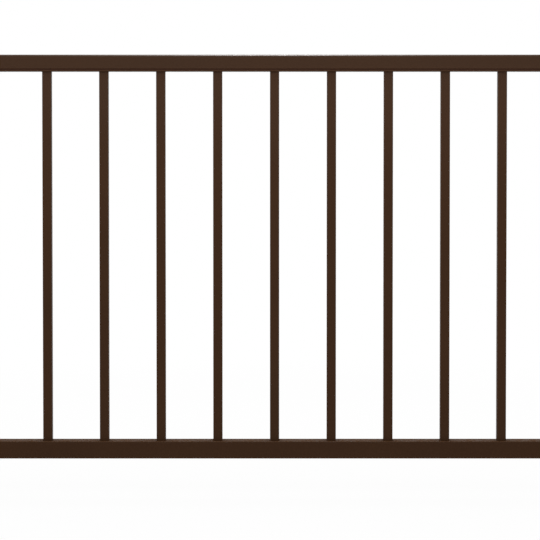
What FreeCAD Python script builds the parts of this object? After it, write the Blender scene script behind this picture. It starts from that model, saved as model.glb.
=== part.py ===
import FreeCAD, Part
import Sketcher
import math
import os

# Aluminium deck railing section for one bay between two posts. The photographed face is towards -Y.
# The origin is the centre of the post face of the lower left bracket, with +X along the rails.

# Driving dimensions in millimetres
dimensions = {
    "span": 1829,                  # from post face to post face
    "section_height": 842.2,       # underside of the bottom rail to the top of the cap
    "end_gap": 74.8,               # clear width between a post face and the first baluster
    "rail_end_gap": 1.5,           # room for expansion between a rail's end and its bracket
    "rail_depth": 38.1,
    "baluster_count": 15,
    "baluster_side": 19.05,
    "baluster_wall": 1.3,
    "baluster_corner": 1.6,
    "baluster_clearance": 0.25,    # round a baluster in its punched hole
    "baluster_headroom": 7.6,      # from the top end of a baluster to the inside of the cap
    "top_rail_height": 34.9,
    "channel_wall": 2.0,
    "channel_web": 2.2,
    "channel_corner": 1.2,
    "shoulder_height": 3.2,        # full-depth foot of the channel, seen below the cap
    "shoulder_corner": 0.7,
    "shadow_gap": 2.6,             # open line between the foot and the cap's skirts
    "cap_wall": 1.7,
    "cap_corner": 4.0,
    "cap_inner_corner": 1.2,       # also on the channel's rims, which nest in it
    "skirt_corner": 0.5,           # outer lower edge of a cap skirt
    "cap_clearance": 0.25,         # between a cap skirt and the channel wall inside it
    "bottom_rail_height": 36,
    "bottom_rail_wall": 2.0,
    "bottom_rail_corner": 1.8,
    "drain_hole_diameter": 6.4,
    "drain_hole_count": 4,
    "socket_clearance": 0.3,       # at each side of a rail and above it in its bracket
    "socket_length": 25,
    "socket_wall": 2.2,
    "socket_corner": 2.6,
    "socket_edge": 0.8,
    "socket_root": 0.9,            # fillet where the socket meets the flange
    "flange_thickness": 4,
    "flange_side_margin": 2.3,     # from the socket's side to the flange's edge
    "flange_end_margin": 15.2,     # above and below the socket, where the screws go
    "flange_corner": 3,
    "flange_edge": 1.0,
    "screw_hole_diameter": 5.2,
}

doc = FreeCAD.newDocument("deck_railing_section")
sheet = doc.addObject("Spreadsheet::Sheet", "size")
for row, (name, number) in enumerate(dimensions.items(), start=1):
    sheet.set(f"A{row}", name)
    sheet.set(f"B{row}", str(number))
    sheet.setAlias(f"B{row}", name)
doc.recompute()

# Places that follow from the sheet, as expressions
baluster_pitch = "((size.span - 2 * size.end_gap - size.baluster_side) / (size.baluster_count - 1))"
first_baluster = "(size.end_gap + size.baluster_side / 2)"
rail_start = "(size.flange_thickness + size.rail_end_gap)"
rail_length = f"(size.span - 2 * {rail_start})"
bottom_rail_underside = "(-(size.bottom_rail_height + size.socket_clearance) / 2)"
top_rail_underside = f"({bottom_rail_underside} + size.section_height - size.top_rail_height)"
top_bracket_height = f"({top_rail_underside} + (size.top_rail_height + size.socket_clearance) / 2)"
baluster_hole = "(size.baluster_side / 2 + size.baluster_clearance)"

pieces = []


def new_piece(label):
    body = doc.addObject("PartDesign::Body", label)
    body.Label = label
    pieces.append(body)
    return body


def new_sketch(body, plane_role, name):
    plane = next(item for item in body.Origin.OriginFeatures if item.Role == plane_role)
    sketch = body.newObject("Sketcher::SketchObject", name)
    sketch.AttachmentSupport = [(plane, "")]
    sketch.MapMode = "FlatFace"
    return sketch


def add_driven(sketch, kind, places, expression):
    number = sketch.evalExpression(expression)
    index = sketch.addConstraint(Sketcher.Constraint(kind, *places, float(number)))
    sketch.renameConstraint(index, f"{kind}_{index}")
    sketch.setExpression(f"Constraints.{kind}_{index}", expression)


def add_outline(sketch, corners):
    # A closed outline of level and upright lines, counter-clockwise round what it encloses.
    # Each corner is its place across, its place up, and its radius, or None where it is sharp.
    count = len(corners)
    origin = (-1, 1)
    points = []
    for across, up, _ in corners:
        x = float(sketch.evalExpression(across))
        y = float(sketch.evalExpression(up))
        points.append(FreeCAD.Vector(x, y, 0))
    radii = [float(sketch.evalExpression(radius)) if radius else 0 for _, _, radius in corners]
    forward = [(points[(i + 1) % count] - points[i]).normalize() for i in range(count)]

    lines = []
    for i in range(count):
        following = (i + 1) % count
        start = points[i] + forward[i] * radii[i]
        end = points[following] - forward[i] * radii[following]
        line = sketch.addGeometry(Part.LineSegment(start, end), False)
        lines.append(line)
        upright = corners[i][0] == corners[following][0]
        sketch.addConstraint(Sketcher.Constraint("Vertical" if upright else "Horizontal", line))
        if upright:
            add_driven(sketch, "DistanceX", (*origin, line, 1), corners[i][0])
        else:
            add_driven(sketch, "DistanceY", (*origin, line, 1), corners[i][1])

    for i, (_, _, radius) in enumerate(corners):
        before = lines[i - 1]
        after = lines[i]
        if radius is None:
            sketch.addConstraint(Sketcher.Constraint("Coincident", before, 2, after, 1))
            continue
        centre = points[i] + (forward[i] - forward[i - 1]) * radii[i]
        turns_left = forward[i - 1].cross(forward[i]).z > 0
        ends = [points[i] - forward[i - 1] * radii[i], points[i] + forward[i] * radii[i]]
        if not turns_left:
            ends.reverse()
        angles = [math.atan2(end.y - centre.y, end.x - centre.x) for end in ends]
        circle = Part.Circle(centre, FreeCAD.Vector(0, 0, 1), radii[i])
        arc = sketch.addGeometry(Part.ArcOfCircle(circle, angles[0], angles[1]), False)
        arc_ends = (1, 2) if turns_left else (2, 1)
        sketch.addConstraint(Sketcher.Constraint("Tangent", before, 2, arc, arc_ends[0]))
        sketch.addConstraint(Sketcher.Constraint("Tangent", after, 1, arc, arc_ends[1]))
        add_driven(sketch, "Radius", (arc,), radius)


def box_corners(low, high, bottom, top, radius=None):
    return [(low, bottom, radius), (high, bottom, radius), (high, top, radius), (low, top, radius)]


def add_pad(body, sketch, length):
    pad = body.newObject("PartDesign::Pad", f"{sketch.Name}_pad")
    pad.Profile = sketch
    pad.setExpression("Length", length)
    doc.recompute()
    return pad


def cut_through(body, sketch, along_normal):
    # Cuts from the sketch through everything on one side of it
    volume = body.Shape.Volume
    pocket = body.newObject("PartDesign::Pocket", f"{sketch.Name}_cut")
    pocket.Profile = sketch
    pocket.Type = "ThroughAll"
    pocket.Reversed = along_normal
    doc.recompute()
    if body.Shape.Volume >= volume:
        raise RuntimeError(f"{pocket.Label} removes nothing")
    return pocket


def repeat_along(body, sketch, feature, pitch, number):
    pattern = body.newObject("PartDesign::LinearPattern", f"{feature.Name}_row")
    pattern.Originals = [feature]
    pattern.Direction = (sketch, ["H_Axis"])
    pattern.setExpression("Length", f"{pitch} * ({number} - 1)")
    pattern.setExpression("Occurrences", number)
    body.Tip = pattern
    doc.recompute()
    return pattern


def place(body, across, up):
    body.setExpression("Placement.Base.x", across)
    body.setExpression("Placement.Base.z", up)
    doc.recompute()


def edge_names(shape, wanted):
    return [f"Edge{i}" for i, edge in enumerate(shape.Edges, start=1) if wanted(edge)]


def round_edges(body, feature, names, radius):
    fillet = body.newObject("PartDesign::Fillet", f"{feature.Name}_round")
    fillet.Base = (feature, names)
    fillet.setExpression("Radius", radius)
    doc.recompute()
    return fillet


# Balusters: square tubes that stand on the floor of the bottom rail and end inside the top rail

def make_baluster(number):
    body = new_piece(f"baluster_{number:02d}")
    sketch = new_sketch(body, "XY_Plane", f"baluster_{number:02d}_section")
    outer = "size.baluster_side / 2"
    inner = "(size.baluster_side / 2 - size.baluster_wall)"
    add_outline(sketch, box_corners(f"-{outer}", outer, f"-{outer}", outer, "size.baluster_corner"))
    add_outline(sketch, box_corners(f"-{inner}", inner, f"-{inner}", inner))
    foot = f"({bottom_rail_underside} + size.bottom_rail_wall)"
    head = f"({top_rail_underside} + size.top_rail_height - size.cap_wall - size.baluster_headroom)"
    add_pad(body, sketch, f"{head} - {foot}")
    place(body, f"{first_baluster} + {baluster_pitch} * {number - 1}", foot)


# Rails: both start clear of their left bracket, with a square hole for every baluster

def cut_baluster_holes(body, name, along_normal):
    sketch = new_sketch(body, "XY_Plane", f"{name}_baluster_hole")
    middle = f"({first_baluster} - {rail_start})"
    sides = box_corners(f"{middle} - {baluster_hole}", f"{middle} + {baluster_hole}",
                        f"-{baluster_hole}", baluster_hole, "size.baluster_corner")
    add_outline(sketch, sides)
    hole = cut_through(body, sketch, along_normal)
    repeat_along(body, sketch, hole, baluster_pitch, "size.baluster_count")


def make_top_rail_channel():
    # An upward channel whose foot is as deep as the cap, so that the two faces are flush
    body = new_piece("top_rail_channel")
    sketch = new_sketch(body, "YZ_Plane", "channel_section")
    side = "size.rail_depth / 2"
    outside = "(size.rail_depth / 2 - size.cap_wall - size.cap_clearance)"
    inside = "(size.rail_depth / 2 - size.cap_wall - size.cap_clearance - size.channel_wall)"
    base = "-size.top_rail_height / 2"
    web = f"{base} + size.channel_web"
    shoulder = f"{base} + size.shoulder_height"
    rim = "(size.top_rail_height / 2 - size.cap_wall)"
    add_outline(sketch, [
        (f"-{side}", base, "size.channel_corner"),
        (side, base, "size.channel_corner"),
        (side, shoulder, "size.shoulder_corner"),
        (outside, shoulder, None),
        (outside, rim, "size.cap_inner_corner"),
        (inside, rim, None),
        (inside, web, None),
        (f"-{inside}", web, None),
        (f"-{inside}", rim, None),
        (f"-{outside}", rim, "size.cap_inner_corner"),
        (f"-{outside}", shoulder, None),
        (f"-{side}", shoulder, "size.shoulder_corner"),
    ])
    add_pad(body, sketch, rail_length)
    cut_baluster_holes(body, "channel", along_normal=False)
    place(body, rail_start, f"{top_rail_underside} + size.top_rail_height / 2")


def make_top_rail_cap():
    # A snap-on cover that rests on the rims of the channel
    body = new_piece("top_rail_cap")
    sketch = new_sketch(body, "YZ_Plane", "cap_section")
    outside = "size.rail_depth / 2"
    inside = "(size.rail_depth / 2 - size.cap_wall)"
    top = "size.top_rail_height / 2"
    ceiling = "(size.top_rail_height / 2 - size.cap_wall)"
    skirt = "(size.shoulder_height + size.shadow_gap - size.top_rail_height / 2)"
    add_outline(sketch, [
        (f"-{outside}", skirt, "size.skirt_corner"),
        (f"-{inside}", skirt, None),
        (f"-{inside}", ceiling, "size.cap_inner_corner"),
        (inside, ceiling, "size.cap_inner_corner"),
        (inside, skirt, None),
        (outside, skirt, "size.skirt_corner"),
        (outside, top, "size.cap_corner"),
        (f"-{outside}", top, "size.cap_corner"),
    ])
    add_pad(body, sketch, rail_length)
    place(body, rail_start, f"{top_rail_underside} + size.top_rail_height / 2")


def make_bottom_rail():
    # A closed square tube with baluster holes above and drain holes beneath
    body = new_piece("bottom_rail")
    sketch = new_sketch(body, "YZ_Plane", "bottom_rail_section")
    side = "size.rail_depth / 2"
    top = "size.bottom_rail_height / 2"
    inner_side = "(size.rail_depth / 2 - size.bottom_rail_wall)"
    inner_top = "(size.bottom_rail_height / 2 - size.bottom_rail_wall)"
    add_outline(sketch, box_corners(f"-{side}", side, f"-{top}", top, "size.bottom_rail_corner"))
    add_outline(sketch, box_corners(f"-{inner_side}", inner_side, f"-{inner_top}", inner_top))
    add_pad(body, sketch, rail_length)
    cut_baluster_holes(body, "bottom_rail", along_normal=True)

    # Drain holes lie midway between balusters, evenly along the rail
    drain = new_sketch(body, "XY_Plane", "drain_hole")
    spaces = "floor((size.baluster_count - 1) / size.drain_hole_count)"
    first_space = f"floor((size.baluster_count - 1 - {spaces} * (size.drain_hole_count - 1)) / 2)"
    centre = f"({first_baluster} - {rail_start} + {baluster_pitch} * ({first_space} + 0.5))"
    radius = float(drain.evalExpression("size.drain_hole_diameter / 2"))
    place_along = FreeCAD.Vector(float(drain.evalExpression(centre)), 0, 0)
    circle = drain.addGeometry(Part.Circle(place_along, FreeCAD.Vector(0, 0, 1), radius), False)
    drain.addConstraint(Sketcher.Constraint("PointOnObject", circle, 3, -1))
    add_driven(drain, "DistanceX", (-1, 1, circle, 3), centre)
    add_driven(drain, "Diameter", (circle,), "size.drain_hole_diameter")
    hole = cut_through(body, drain, along_normal=False)
    repeat_along(body, drain, hole, f"{baluster_pitch} * {spaces}", "size.drain_hole_count")
    place(body, rail_start, f"{bottom_rail_underside} + size.bottom_rail_height / 2")


# Brackets: a flange against the post and a square socket that the rail's end lies in

def make_bracket(label, rail_height, across, up, turned):
    body = new_piece(label)
    inner_side = "(size.rail_depth / 2 + size.socket_clearance)"
    inner_top = f"(({rail_height} + size.socket_clearance) / 2)"
    outer_side = f"({inner_side} + size.socket_wall)"
    outer_top = f"({inner_top} + size.socket_wall)"
    flange_side = f"({outer_side} + size.flange_side_margin)"
    flange_top = f"({outer_top} + size.flange_end_margin)"

    plate = new_sketch(body, "YZ_Plane", f"{label}_plate")
    add_outline(plate, box_corners(f"-{flange_side}", flange_side, f"-{flange_top}", flange_top,
                                   "size.flange_corner"))
    add_pad(body, plate, "size.flange_thickness")
    socket = new_sketch(body, "YZ_Plane", f"{label}_socket")
    add_outline(socket, box_corners(f"-{outer_side}", outer_side, f"-{outer_top}", outer_top,
                                    "size.socket_corner"))
    add_outline(socket, box_corners(f"-{inner_side}", inner_side, f"-{inner_top}", inner_top))
    ring = add_pad(body, socket, "size.flange_thickness + size.socket_length")

    # The flange's front edge and the outer edge of the socket's mouth are eased, and its root is filleted
    tolerance = 1e-4
    half_wall = sheet.socket_wall / 2
    socket_side = float(body.evalExpression(outer_side))
    socket_top = float(body.evalExpression(outer_top))
    front = sheet.flange_thickness
    mouth = sheet.flange_thickness + sheet.socket_length

    def lies_beyond(edge, place_along, margin):
        # True for an edge in that plane, farther out than the socket's outside by the margin
        box = edge.BoundBox
        in_plane = abs(box.XMin - place_along) < tolerance and abs(box.XMax - place_along) < tolerance
        centre = edge.CenterOfMass
        return in_plane and (abs(centre.y) > socket_side + margin or abs(centre.z) > socket_top + margin)

    flange_edges = edge_names(ring.Shape, lambda edge: lies_beyond(edge, front, tolerance))
    eased = round_edges(body, ring, flange_edges, "size.flange_edge")
    root_edges = edge_names(eased.Shape, lambda edge: (
        lies_beyond(edge, front, -half_wall) and not lies_beyond(edge, front, tolerance)))
    rooted = round_edges(body, eased, root_edges, "size.socket_root")
    mouth_edges = edge_names(rooted.Shape, lambda edge: lies_beyond(edge, mouth, -half_wall))
    round_edges(body, rooted, mouth_edges, "size.socket_edge")

    # One screw hole above the socket and one below
    screws = new_sketch(body, "YZ_Plane", f"{label}_screws")
    radius = sheet.screw_hole_diameter / 2
    for direction in ("-", ""):
        height = f"{direction}({outer_top} + size.flange_end_margin / 2)"
        centre = FreeCAD.Vector(0, float(screws.evalExpression(height)), 0)
        circle = screws.addGeometry(Part.Circle(centre, FreeCAD.Vector(0, 0, 1), radius), False)
        screws.addConstraint(Sketcher.Constraint("PointOnObject", circle, 3, -2))
        add_driven(screws, "DistanceY", (-1, 1, circle, 3), height)
        add_driven(screws, "Diameter", (circle,), "size.screw_hole_diameter")
    cut_through(body, screws, along_normal=True)

    if turned:
        body.Placement = FreeCAD.Placement(FreeCAD.Vector(), FreeCAD.Rotation(FreeCAD.Vector(0, 0, 1), 180))
    place(body, across, up)


for number in range(1, int(sheet.baluster_count) + 1):
    make_baluster(number)
make_top_rail_channel()
make_top_rail_cap()
make_bottom_rail()
make_bracket("bracket_lower_left", "size.bottom_rail_height", "0", "0", turned=False)
make_bracket("bracket_lower_right", "size.bottom_rail_height", "size.span", "0", turned=True)
make_bracket("bracket_upper_left", "size.top_rail_height", "0", top_bracket_height, turned=False)
make_bracket("bracket_upper_right", "size.top_rail_height", "size.span", top_bracket_height, turned=True)

doc.recompute()
for item in doc.Objects:
    if "Invalid" in item.State or "Error" in item.State:
        raise RuntimeError(f"{item.Label} failed: {item.State}")
os.makedirs("parts", exist_ok=True)
for body in pieces:
    if body.Shape.isNull() or not body.Shape.isValid() or len(body.Shape.Solids) != 1:
        raise RuntimeError(f"{body.Label} is not one sound solid")
for body in pieces:
    body.Shape.exportStep(f"parts/{body.Label}.step")
    print(f"{body.Label}: {body.Shape.Volume:.1f} mm3")
print(f"baluster pitch {float(sheet.evalExpression(baluster_pitch)):.2f} mm")
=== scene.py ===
import bpy
import math
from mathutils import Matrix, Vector


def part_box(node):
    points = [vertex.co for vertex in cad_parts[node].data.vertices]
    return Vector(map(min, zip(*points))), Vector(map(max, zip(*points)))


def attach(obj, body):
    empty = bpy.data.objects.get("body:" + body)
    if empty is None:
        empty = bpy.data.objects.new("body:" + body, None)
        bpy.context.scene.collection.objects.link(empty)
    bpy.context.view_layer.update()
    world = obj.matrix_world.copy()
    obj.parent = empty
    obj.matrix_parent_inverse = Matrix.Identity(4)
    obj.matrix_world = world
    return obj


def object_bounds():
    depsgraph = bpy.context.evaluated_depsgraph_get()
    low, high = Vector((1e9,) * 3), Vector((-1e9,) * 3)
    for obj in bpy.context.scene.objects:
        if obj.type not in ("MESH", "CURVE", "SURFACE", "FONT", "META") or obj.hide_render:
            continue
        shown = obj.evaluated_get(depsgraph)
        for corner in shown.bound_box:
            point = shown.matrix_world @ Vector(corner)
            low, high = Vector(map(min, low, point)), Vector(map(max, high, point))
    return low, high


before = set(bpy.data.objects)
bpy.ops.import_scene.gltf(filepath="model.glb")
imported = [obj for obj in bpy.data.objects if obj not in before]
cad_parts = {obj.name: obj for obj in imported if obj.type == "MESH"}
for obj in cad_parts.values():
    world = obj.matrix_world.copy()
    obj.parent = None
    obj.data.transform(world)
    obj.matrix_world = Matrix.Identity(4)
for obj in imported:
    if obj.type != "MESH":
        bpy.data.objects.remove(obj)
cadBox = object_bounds()
middle = (cadBox[0] + cadBox[1]) / 2
print("frame loaded:", len(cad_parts), "nodes")


class Wire:
    # A socket in a node tree. Sums and products of wires add Math nodes.
    def __init__(self, tree, socket=None):
        self.tree = tree
        self.socket = socket

    def node(self, kind, settings=None, values=None, output=0):
        # One node of any kind: its settings first, then the values or wires of its sockets
        made = self.tree.nodes.new(kind)
        for name, setting in (settings or {}).items():
            if name == "curve":
                self.shapeCurve(made.mapping, setting)
            else:
                setattr(made, name, setting)
        for name, value in (values or {}).items():
            if isinstance(value, Wire):
                self.tree.links.new(value.socket, made.inputs[name])
            else:
                made.inputs[name].default_value = value
        return Wire(self.tree, made.outputs[output]) if made.outputs else made

    def shapeCurve(self, mapping, stops):
        points = mapping.curves[0].points
        while len(points) < len(stops):
            points.new(0.5, 0.5)
        for point, stop in zip(points, stops):
            point.location = stop
        mapping.update()

    def math(self, operation, first, second=0.0):
        return self.node("ShaderNodeMath", {"operation": operation}, {0: first, 1: second})

    def over(self, limit):
        return self.math("GREATER_THAN", self, limit)

    def __add__(self, other):
        return self.math("ADD", self, other)

    def __radd__(self, other):
        return self.math("ADD", other, self)

    def __sub__(self, other):
        return self.math("SUBTRACT", self, other)

    def __rsub__(self, other):
        return self.math("SUBTRACT", other, self)

    def __mul__(self, other):
        return self.math("MULTIPLY", self, other)

    def __rmul__(self, other):
        return self.math("MULTIPLY", other, self)

    def __truediv__(self, other):
        return self.math("DIVIDE", self, other)

    def __rtruediv__(self, other):
        return self.math("DIVIDE", other, self)

    def __pow__(self, other):
        return self.math("POWER", self, other)


# Camera: a little below the cap, square on to the railing
view = {
    "photoSide": 540,             # pixels
    "metresPerPixel": 0.002078,   # at the front of the rails
    "distance": 4.25,             # metres from the front of the rails
    "middleBaluster": "baluster_08",
    "middleBalusterColumn": 274.6,
    "capTopRow": 54.6,
    "horizonRow": 119,
    "shift": -0.17,               # of the frame's side; the rest of the drop is tilt
    "sensor": 36,
}


def placeCamera():
    focalPixels = view["distance"] / view["metresPerPixel"]
    axisRow = view["photoSide"] * (0.5 + view["shift"])
    tilt = math.atan((axisRow - view["horizonRow"]) / focalPixels)
    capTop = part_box("top_rail_cap")[1].z
    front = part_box("top_rail_cap")[0].y
    low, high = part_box(view["middleBaluster"])
    across = (low.x + high.x) / 2
    rise = math.tan(math.atan((axisRow - view["capTopRow"]) / focalPixels) - tilt)
    offset = (view["middleBalusterColumn"] - view["photoSide"] / 2) * view["metresPerPixel"]
    data = bpy.data.cameras.new("photoCamera")
    data.sensor_width = view["sensor"]
    data.lens = focalPixels * view["sensor"] / view["photoSide"]
    data.shift_y = view["shift"]
    camera = bpy.data.objects.new("photoCamera", data)
    camera.location = (across - offset, front - view["distance"], capTop - view["distance"] * rise)
    camera.rotation_euler = (math.pi / 2 - tilt, 0, 0)
    bpy.context.scene.collection.objects.link(camera)
    bpy.context.scene.camera = camera
    bpy.context.scene.view_settings.view_transform = "Standard"
    print("camera placed")


placeCamera()


# Studio: a white surround and a pale floor, a long low lamp on each side, a thin one close to the front
# and a small one overhead
studio = {
    "fill": 0.71,             # surround as a light on dull surfaces
    "floorDrop": 0.076,       # below the underside of the bottom rail, metres
    "floorColor": (0.9, 0.9, 0.9),
    "floorGlow": 0.94,        # share of the floor near the railing that the camera sees as plain white
    "floorFade": (1.2, 2.6),  # metres from the railing's middle over which that share rises to all
    "floorSide": 80,
    # Lamps: place and aim are counted from the middle of the length, at the height of the lower bracket
    "overhead": {"place": (0, 0, 1.8), "aim": (0, 0, 0), "size": (0.05, 0.05), "power": 155,
                 "onDull": False},
    "near": {"place": (0, -0.42, 0.78), "aim": (0, 0, 0.7), "size": (3.0, 0.1), "power": 1.9,
             "onDull": True},
    "front": {"place": (0, -1.5, 1.3), "aim": (0, 0, 0.4), "size": (3.0, 0.5), "power": 12,
              "onDull": True},
    "back": {"place": (0, 1.5, 1.3), "aim": (0, 0, 0.4), "size": (3.0, 0.5), "power": 12,
             "onDull": True},
}
white = (1, 1, 1, 1)


def seenDirectly(wire):
    # 1 for rays that show the background itself: from the camera, or by gloss or through glass
    path = wire.node("ShaderNodeLightPath")
    outputs = path.socket.node.outputs
    seen = Wire(wire.tree, outputs["Is Camera Ray"])
    for name in ("Is Glossy Ray", "Is Transmission Ray"):
        seen = wire.math("MAXIMUM", seen, Wire(wire.tree, outputs[name]))
    return seen


def makeWorld():
    world = bpy.data.worlds.new("surround")
    bpy.context.scene.world = world
    world.use_nodes = True
    world.node_tree.nodes.clear()
    wire = Wire(world.node_tree)
    seen = seenDirectly(wire)
    strength = seen + (1 - seen) * studio["fill"]
    light = wire.node("ShaderNodeBackground", None, {"Color": white, "Strength": strength})
    wire.node("ShaderNodeOutputWorld", None, {"Surface": light})


def makeFloor():
    half = studio["floorSide"] / 2
    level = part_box("bottom_rail")[0].z - studio["floorDrop"]
    mesh = bpy.data.meshes.new("floor")
    corners = [(-half, -half, level), (half, -half, level), (half, half, level), (-half, half, level)]
    mesh.from_pydata(corners, [], [(0, 1, 2, 3)])
    material = bpy.data.materials.new("paleFloor")
    material.use_nodes = True
    material.node_tree.nodes.clear()
    wire = Wire(material.node_tree)
    dull = wire.node("ShaderNodeBsdfDiffuse", None, {"Color": (*studio["floorColor"], 1)})
    glow = wire.node("ShaderNodeEmission", None, {"Color": white, "Strength": 1.0})
    place = wire.node("ShaderNodeTexCoord", output="Object")
    reach = wire.node("ShaderNodeVectorMath", {"operation": "DISTANCE"}, {0: place, 1: middle}, "Value")
    near, far = studio["floorFade"]
    fade = wire.node("ShaderNodeMapRange", {"interpolation_type": "SMOOTHSTEP"},
                     {"Value": reach, "From Min": near, "From Max": far, "To Min": studio["floorGlow"]})
    share = seenDirectly(wire) * fade
    mixed = wire.node("ShaderNodeMixShader", None, {0: share, 1: dull, 2: glow})
    wire.node("ShaderNodeOutputMaterial", None, {"Surface": mixed})
    mesh.materials.append(material)
    floor = bpy.data.objects.new("floor", mesh)
    bpy.context.scene.collection.objects.link(floor)


def makeLamp(name):
    # onDull is False on a lamp that makes a highlight and adds nothing to the colour
    settings = studio[name]
    data = bpy.data.lights.new(name, "AREA")
    data.shape = "RECTANGLE"
    data.size, data.size_y = settings["size"]
    data.energy = settings["power"]
    lamp = bpy.data.objects.new(name, data)
    toward = Vector(settings["aim"]) - Vector(settings["place"])
    lamp.location = Vector((middle.x, 0, 0)) + Vector(settings["place"])
    lamp.rotation_euler = toward.to_track_quat("-Z", "Y").to_euler()
    lamp.visible_diffuse = settings["onDull"]
    bpy.context.scene.collection.objects.link(lamp)


makeWorld()
makeFloor()
makeLamp("overhead")
makeLamp("near")
makeLamp("front")
makeLamp("back")
print("studio lit")


# Powder coat: a satin dark bronze on every piece, smooth on extrusions and coarser on castings
coat = {
    "color": (0.0362, 0.0149, 0.0053),
    "railShade": 0.95,          # of the rails' coat, over the rest
    # Patterns of noise: how many to a metre, and their detail
    "clouds": (5, 3),
    "peel": (420, 2),           # orange peel
    "grain": (2400, 1),
    "dieLines": (1, 2),         # across an extrusion, after dieSqueeze
    "castPits": (150, 4),
    "chips": (260, 3),          # on the edges of a casting
    "dustPatches": (60, 4),
    "toneRange": 0.09,          # light and dark of the broad clouding, as a share
    "cloudShare": 0.7,          # of the clouds in that clouding; the rest is orange peel
    "toneSpan": (0.3, 0.7),     # levels of the noise that are fully dark and fully light
    "roughness": 0.45,
    "roughnessRange": 0.08,
    "specular": 0.08,
    "peelDepth": 0.00008,       # depths are in metres
    "grainDepth": 0.000015,
    "dieSqueeze": 900,          # faint lines along an extrusion, to a metre across it
    "dieDepth": 0.000004,
    "dieTone": 0.05,
    "castDepth": 0.00006,
    "edgeSpread": 4,            # how soon a face that turns away from square counts as an edge
    "edgeTone": 0.35,           # how much lighter the coat is where it runs thin over an edge
    "edgeLift": 2,              # the thin coat's colour, over the full coat's
    "edgeGloss": 0.05,          # and how much smoother
    "chipColor": (0.2, 0.19, 0.175),
    "chipLevel": 0.66,          # of the noise, above which the coat is gone
    "recess": 0.0185,           # metres from a rail's middle plane, within which a wall is in shadow
    "recessShadeColor": (0.0255, 0.0062, 0.001),   # painted shade of the shadow line, a dark brown
    "uprightLimit": 0.9,        # of a normal's part across the rail, above which the face is a wall
    "root": (0.004, 0.0065),    # metres from the post, between which a casting's hollow corner holds dust
    "rootDust": 0.1,
    # Level faces are painted lighter: partly dust that settles there, partly a painted light from above
    "dustAndTopLightColor": (0.24, 0.11, 0.04),
    "dustAndTopLightShare": 0.14,          # most that a level face gets, partly as dust and partly as painted light from above
    "dustAndTopLightPower": 3,             # higher keeps it to faces that are more nearly level
    "dustDull": 2.5,            # roughness that full dust adds
}
noiseMean = 0.5                 # a noise texture's values lie round this


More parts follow.
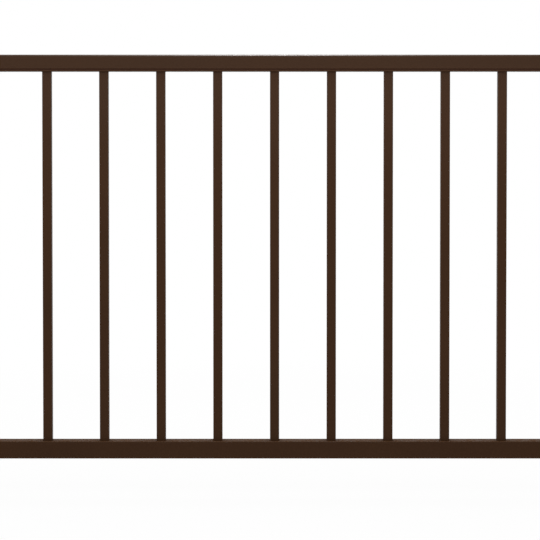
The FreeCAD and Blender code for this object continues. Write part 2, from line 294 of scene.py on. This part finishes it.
def powderCoat(name, along=None, shade=1):
    # along is the direction of the extrusion, or None on a casting
    material = bpy.data.materials.new(name)
    material.use_nodes = True
    material.node_tree.nodes.clear()
    wire = Wire(material.node_tree)
    place = wire.node("ShaderNodeTexCoord", output="Object")

    def noise(pattern, vector=place):
        scale, detail = pattern
        return wire.node("ShaderNodeTexNoise", None,
                         {"Vector": vector, "Scale": scale, "Detail": detail}, "Fac")

    def mixed(share, first, second):
        return wire.node("ShaderNodeMix", {"data_type": "RGBA"}, {"Factor": share, 6: first, 7: second}, 2)

    clouds = noise(coat["clouds"])
    peel = noise(coat["peel"])
    grain = noise(coat["grain"])
    height = peel * coat["peelDepth"] + grain * coat["grainDepth"]
    cloudShare = coat["cloudShare"]
    darkest, lightest = coat["toneSpan"]
    tone = (clouds * cloudShare + peel * (1 - cloudShare) - darkest) / (lightest - darkest)
    if along:
        squeeze = [1 if axis == along else coat["dieSqueeze"] for axis in "XYZ"]
        stretched = wire.node("ShaderNodeMapping", None, {"Vector": place, "Scale": squeeze})
        lines = noise(coat["dieLines"], stretched)
        height = height + lines * coat["dieDepth"]
        tone = tone + (lines - noiseMean) * (coat["dieTone"] / coat["toneRange"])
    else:
        height = height + noise(coat["castPits"]) * coat["castDepth"]
    base = [c * shade for c in coat["color"]]
    dark = [c * (1 - coat["toneRange"]) for c in base]
    light = [c * (1 + coat["toneRange"]) for c in base]
    color = mixed(tone, (*dark, 1), (*light, 1))

    # Every flat face lies square to an axis, so a surface that doesn't is a rounded edge
    facing = wire.node("ShaderNodeNewGeometry", output="Normal")
    parts = [wire.node("ShaderNodeSeparateXYZ", None, {0: facing}, axis) for axis in "XYZ"]
    squareness = 0
    for part in parts:
        squareness = wire.math("MAXIMUM", squareness, wire.math("ABSOLUTE", part))
    edge = wire.math("MINIMUM", (1 - squareness) * coat["edgeSpread"], 1)
    # Upward faces are lighter: partly dust, partly a painted light from above; the socket's hollow corner
    # adds real dust
    facingUp = wire.math("MAXIMUM", parts[2], 0)
    dustAndTopLight = facingUp ** coat["dustAndTopLightPower"] * (coat["dustAndTopLightShare"] / noiseMean)
    if along == "X":
        # The channel's wall between its foot and the cap is painted darker: a painted shade for the shadow
        # line under the cap
        across = wire.node("ShaderNodeSeparateXYZ", None, {0: place}, "Y")
        upright = wire.math("ABSOLUTE", parts[1]).over(coat["uprightLimit"])
        inRecess = upright * (1 - wire.math("ABSOLUTE", across).over(coat["recess"]))
        color = mixed(inRecess, color, (*coat["recessShadeColor"], 1))
    if not along:
        # The hollow corner round the socket's root isn't an edge, and dust stays in it
        fromLeft = wire.node("ShaderNodeSeparateXYZ", None, {0: place}, "X")
        fromPost = wire.math("MINIMUM", fromLeft, cadBox[1].x - fromLeft)
        near, far = coat["root"]
        deep = wire.node("ShaderNodeMapRange", {"interpolation_type": "SMOOTHSTEP"},
                         {"Value": fromPost, "From Min": near, "From Max": far, "To Min": 1.0, "To Max": 0.0})
        deep = deep * fromPost.over(near)
        edge = edge * (1 - deep)
        dustAndTopLight = dustAndTopLight + deep * (coat["rootDust"] / noiseMean)
    thin = edge * peel * (coat["edgeTone"] / noiseMean)
    color = mixed(thin, color, (*[coat["edgeLift"] * c for c in base], 1))
    if not along:
        chips = edge * noise(coat["chips"]).over(coat["chipLevel"])
        color = mixed(chips, color, (*coat["chipColor"], 1))

    # Dust and painted top light, broken into patches and mixed over the coat as one colour
    dustAndTopLight = dustAndTopLight * noise(coat["dustPatches"])
    color = mixed(dustAndTopLight, color, (*coat["dustAndTopLightColor"], 1))
    roughness = coat["roughness"] + (clouds + grain - 2 * noiseMean) * coat["roughnessRange"]
    roughness = roughness + dustAndTopLight * coat["dustDull"] - edge * coat["edgeGloss"]

    bump = wire.node("ShaderNodeBump", None, {"Height": height, "Distance": 1.0, "Strength": 1.0})
    surface = wire.node("ShaderNodeBsdfPrincipled", None, {
        "Base Color": color,
        "Roughness": roughness,
        "Specular IOR Level": coat["specular"],
        "Normal": bump,
    })
    wire.node("ShaderNodeOutputMaterial", None, {"Surface": surface})
    return material


railCoat = powderCoat("railPowderCoat", "X", coat["railShade"])
balusterCoat = powderCoat("balusterPowderCoat", "Z")
bracketCoat = powderCoat("bracketPowderCoat")


def dress():
    for name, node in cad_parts.items():
        if name.startswith("baluster"):
            finish = balusterCoat
        elif name.startswith("bracket"):
            finish = bracketCoat
        else:
            finish = railCoat
        for slot in node.material_slots:
            slot.material = finish


dress()
print("railing dressed")


# Rail screws: two pan heads with a square drive, on the back of each bracket's socket
screw = {
    "Head Width": 0.0082,
    "Head Height": 0.0024,
    "Recess Width": 0.0034,
    "Recess Depth": 0.0016,
    "Around": 40,              # faces round the head
    "Seed": 5,                 # of the turn that each screw was left at
    "crown": [(0, 1), (0.45, 0.985), (0.72, 0.88), (0.9, 0.62), (1, 0.22)],   # height over radius
    "crownRings": 7,
    "drive": 7,                # power of the rounded square, higher is squarer
    "mouth": 1.36,             # width of the flat ring round the recess, over the recess
    "spacing": 0.018,
    "alongSocket": 0.57,       # share of the way from the post to the socket's mouth
    "flangeReach": 0.006,      # nearer to the post than this is flange
    "weld": 0.00001,           # the grid's seam and poles are merged within this
    "sharpAngle": 40,          # degrees between faces, above which their edge stays sharp
}
screwCoat = {
    "color": (0.042, 0.0205, 0.0105),
    "rubbedColor": (0.21, 0.2, 0.185),   # zinc where the driver has rubbed the paint off
    "rubbedSpan": (0.35, 0.55),          # levels of the patches, from painted to bare
    "patches": (900, 3),                 # to a metre, and their detail
    "patchDepth": 0.00002,
    "roughness": 0.42,
    "patchRoughness": 0.1,
    "rubbedGloss": 0.1,                  # how much smoother bare metal is
}


def screwMaterial():
    material = bpy.data.materials.new("screwPaint")
    material.use_nodes = True
    material.node_tree.nodes.clear()
    wire = Wire(material.node_tree)
    place = wire.node("ShaderNodeTexCoord", output="Object")
    recess = wire.node("ShaderNodeAttribute", {"attribute_name": "recess"}, output="Fac")
    scale, detail = screwCoat["patches"]
    patches = wire.node("ShaderNodeTexNoise", None,
                        {"Vector": place, "Scale": scale, "Detail": detail}, "Fac")
    painted, rubbed = screwCoat["rubbedSpan"]
    bare = wire.node("ShaderNodeMapRange", None,
                     {"Value": patches * recess, "From Min": painted, "From Max": rubbed})
    color = wire.node("ShaderNodeMix", {"data_type": "RGBA"},
                      {"Factor": bare, 6: (*screwCoat["color"], 1), 7: (*screwCoat["rubbedColor"], 1)}, 2)
    height = patches * screwCoat["patchDepth"]
    roughness = screwCoat["roughness"] - bare * screwCoat["rubbedGloss"]
    roughness = roughness + patches * screwCoat["patchRoughness"]
    bump = wire.node("ShaderNodeBump", None, {"Height": height, "Distance": 1.0, "Strength": 1.0})
    surface = wire.node("ShaderNodeBsdfPrincipled", None, {
        "Base Color": color,
        "Roughness": roughness,
        "Metallic": bare,
        "Specular IOR Level": coat["specular"],
        "Normal": bump,
    })
    wire.node("ShaderNodeOutputMaterial", None, {"Surface": surface})
    return material


def screwTree(material):
    # Bends a flat grid into a head, ring by ring from the recess's floor over the crown to the underside,
    # and stands one on every seat
    tree = bpy.data.node_groups.new("railScrews", "GeometryNodeTree")
    tree.interface.new_socket("Seats", in_out="INPUT", socket_type="NodeSocketGeometry")
    for name in ("Head Width", "Head Height", "Recess Width", "Recess Depth"):
        tree.interface.new_socket(name, in_out="INPUT", socket_type="NodeSocketFloat")
    for name in ("Around", "Seed"):
        tree.interface.new_socket(name, in_out="INPUT", socket_type="NodeSocketInt")
    tree.interface.new_socket("Screws", in_out="OUTPUT", socket_type="NodeSocketGeometry")
    wire = Wire(tree)
    inputs = wire.node("NodeGroupInput").socket.node.outputs
    size = {name: Wire(tree, inputs[name]) for name in
            ("Seats", "Head Width", "Head Height", "Recess Width", "Recess Depth", "Around", "Seed")}

    # Rings of the grid, counted from the middle of the recess's floor
    centre = 0
    floorEdge = 1
    lip = 2
    crownStart = 3
    crownEnd = crownStart + screw["crownRings"] - 1
    lastRing = crownEnd + 2
    grid = wire.node("GeometryNodeMeshGrid", None, {
        "Size X": 1.0, "Size Y": 1.0, "Vertices X": size["Around"] + 1, "Vertices Y": lastRing + 1})
    flat = wire.node("GeometryNodeInputPosition")
    across = wire.node("ShaderNodeSeparateXYZ", None, {0: flat}, "X")
    inward = wire.node("ShaderNodeSeparateXYZ", None, {0: flat}, "Y")
    angle = (across + 0.5) * (2 * math.pi)
    ring = wire.math("ROUND", (inward + 0.5) * lastRing)

    cosine = wire.math("COSINE", angle)
    sine = wire.math("SINE", angle)
    power = screw["drive"]
    sides = wire.math("ABSOLUTE", cosine) ** power + wire.math("ABSOLUTE", sine) ** power
    squareSide = sides ** (-1 / power)
    headRadius = size["Head Width"] / 2
    recessRadius = size["Recess Width"] / 2
    mouthShare = recessRadius * screw["mouth"] / headRadius
    along = wire.node("ShaderNodeClamp", None, {"Value": (ring - crownStart) / (crownEnd - crownStart)})
    radiusShare = mouthShare + (1 - mouthShare) * (1 - (1 - along) ** 2)
    crown = wire.node("ShaderNodeFloatCurve", {"curve": screw["crown"]},
                      {"Factor": 1.0, "Value": radiusShare})

    def past(number):
        return ring.over(number + 0.5)

    inRecess = past(centre) * (1 - past(lip))
    onCrown = past(lip) * (1 - past(crownEnd))
    onRim = past(lip) * (1 - past(lastRing - 1))
    onFloor = 1 - past(floorEdge)
    atLip = past(floorEdge) * (1 - past(lip))
    lipHeight = screw["crown"][1][1]
    radius = inRecess * recessRadius * squareSide + onRim * headRadius * radiusShare
    height = (onFloor * (size["Head Height"] - size["Recess Depth"])
              + atLip * size["Head Height"] * lipHeight + onCrown * size["Head Height"] * crown)
    bent = wire.node("ShaderNodeCombineXYZ", None, {0: radius * cosine, 1: radius * sine, 2: height})
    head = wire.node("GeometryNodeSetPosition", None, {"Geometry": grid, "Position": bent})
    head = wire.node("GeometryNodeStoreNamedAttribute", {"data_type": "FLOAT", "domain": "POINT"},
                     {"Geometry": head, "Name": "recess", "Value": 1 - past(crownStart)})
    head = wire.node("GeometryNodeMergeByDistance", None, {"Geometry": head, "Distance": screw["weld"]})
    head = wire.node("GeometryNodeFlipFaces", None, {"Mesh": head})

    facing = wire.node("GeometryNodeInputNamedAttribute", {"data_type": "FLOAT_VECTOR"}, {"Name": "facing"})
    upright = wire.node("FunctionNodeAlignRotationToVector", {"axis": "Z"}, {"Vector": facing})
    quarterTurn = math.pi / 2
    turn = wire.node("FunctionNodeRandomValue", {"data_type": "FLOAT"},
                     {2: 0.0, 3: quarterTurn, "Seed": size["Seed"]}, 1)
    spin = wire.node("FunctionNodeAxisAngleToRotation", None, {"Axis": (0, 0, 1), "Angle": turn})
    turned = wire.node("FunctionNodeRotateRotation", {"rotation_space": "LOCAL"},
                       {"Rotation": upright, "Rotate By": spin})
    placed = wire.node("GeometryNodeInstanceOnPoints", None,
                       {"Points": size["Seats"], "Instance": head, "Rotation": turned})
    real = wire.node("GeometryNodeRealizeInstances", None, {"Geometry": placed})
    painted = wire.node("GeometryNodeSetMaterial", None, {"Geometry": real, "Material": material})
    wire.node("NodeGroupOutput", None, {"Screws": painted})
    return tree


def screwSeats():
    # The back of each socket, midway between its mouth and the flange
    seats = []
    for name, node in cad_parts.items():
        if not name.startswith("bracket"):
            continue
        low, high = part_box(name)
        post, mouth = (low.x, high.x) if name.endswith("left") else (high.x, low.x)
        back = max(v.co.y for v in node.data.vertices if abs(v.co.x - post) > screw["flangeReach"])
        across = post + (mouth - post) * screw["alongSocket"]
        up = (low.z + high.z) / 2
        for side in (-0.5, 0.5):
            seats.append((across, back, up + side * screw["spacing"]))
    return seats


def makeScrews():
    mesh = bpy.data.meshes.new("railScrews")
    seats = screwSeats()
    mesh.from_pydata(seats, [], [])
    facing = mesh.attributes.new("facing", "FLOAT_VECTOR", "POINT")
    for item in facing.data:
        item.vector = (0, 1, 0)
    screws = bpy.data.objects.new("rail_screws", mesh)
    bpy.context.scene.collection.objects.link(screws)
    tree = screwTree(screwMaterial())
    modifier = screws.modifiers.new("heads", "NODES")
    modifier.node_group = tree
    for item in tree.interface.items_tree:
        if item.in_out == "INPUT" and item.name in screw:
            modifier[item.identifier] = screw[item.name]
    evaluated = screws.evaluated_get(bpy.context.evaluated_depsgraph_get())
    plain = bpy.data.meshes.new_from_object(evaluated)
    screws.modifiers.remove(modifier)
    screws.data = plain
    for face in plain.polygons:
        face.use_smooth = True
    plain.set_sharp_from_angle(angle=math.radians(screw["sharpAngle"]))
    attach(screws, "root")
    print("screws made:", len(seats), "heads,", len(plain.polygons), "faces")


makeScrews()
